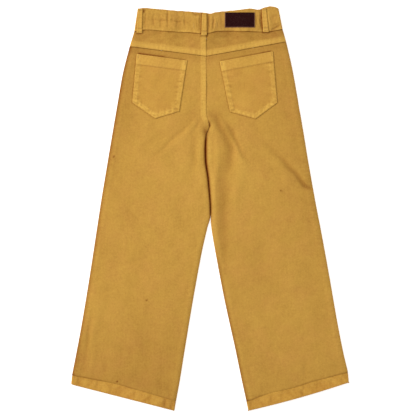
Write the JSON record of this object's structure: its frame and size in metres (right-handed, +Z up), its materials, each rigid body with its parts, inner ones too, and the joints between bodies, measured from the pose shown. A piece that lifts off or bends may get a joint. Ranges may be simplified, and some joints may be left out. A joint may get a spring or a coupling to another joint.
{
  "type": "wide leg jeans, laid flat",
  "caption": "Child's wide leg jeans in cotton twill, laid flat on the front with the back showing: yoke, patch pockets, belt loops and hemmed flared legs.",
  "frame": {"origin": "centre of the bounding box in X and Y, at the underside that rests on the surface", "axes": "+Y from the hems to the waist, +X to the wearer's right, +Z up out of the back of the garment"},
  "size_m": [0.4858, 0.707, 0.0113],
  "materials": {
    "twill": "garment-dyed mustard cotton twill, matt, paler along the sewn edges",
    "pocket_twill": "the same twill, a shade lighter over two layers",
    "hem_twill": "the same twill turned up and stitched, slightly roped",
    "label_weave": "dark maroon woven label, bare",
    "button_metal": "plain antiqued metal"
  },
  "bodies": {
    "root": {"back_left": "twill", "back_right": "twill", "front_left": "twill", "front_right": "twill", "yoke_left": "twill", "yoke_right": "twill", "waistband": "twill", "fly_shield": "twill", "pocket_facing_left": "twill", "pocket_facing_right": "twill", "belt_loop_back_left": "pocket_twill", "belt_loop_back_centre": "pocket_twill", "belt_loop_back_right": "pocket_twill", "belt_loop_front_left": "pocket_twill", "belt_loop_front_right": "pocket_twill", "pocket_left": "pocket_twill", "pocket_right": "pocket_twill", "hem_left": "hem_twill", "hem_right": "hem_twill", "label": "label_weave", "waist_button": "button_metal"}
  },
  "joints": []
}
